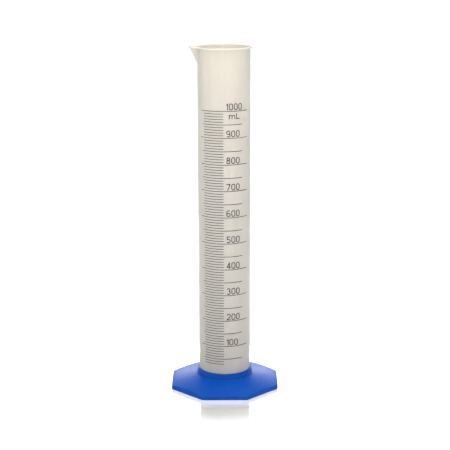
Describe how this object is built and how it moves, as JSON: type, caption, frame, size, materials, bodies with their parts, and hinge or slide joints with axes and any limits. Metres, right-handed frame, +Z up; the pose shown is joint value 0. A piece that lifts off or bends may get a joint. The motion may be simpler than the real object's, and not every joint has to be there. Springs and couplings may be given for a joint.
{
  "type": "graduated cylinder",
  "caption": "Tall translucent plastic measuring cylinder with a V-shaped pouring spout, a rim bead, a printed millilitre scale and a blue octagonal push-on base.",
  "frame": {"origin": "on the tube's axis at the level of the bench that the base stands on", "axes": "+Z up along the tube's axis, the printed scale faces -Y, the pouring spout points along -X, and flats of the octagonal base face -Y and +Y, -X and +X"},
  "size_m": [0.1352, 0.1352, 0.4325],
  "materials": {
    "base_plastic": "glossy moulded blue polypropylene",
    "tube_plastic": "satin translucent natural polypropylene",
    "ink": "dark brown screen-printed ink"
  },
  "bodies": {
    "base": {"base": "base_plastic"},
    "tube": {"tube": "tube_plastic", "hundred_lines": "ink", "fifty_lines": "ink", "ten_lines": "ink", "numerals": "ink", "unit_mark": "ink"}
  },
  "joints": [
    {"name": "tube_lift", "type": "slide", "parent": "base", "child": "tube", "axis": [0, 0, 1], "range_m": [0, 0.04]}
  ]
}
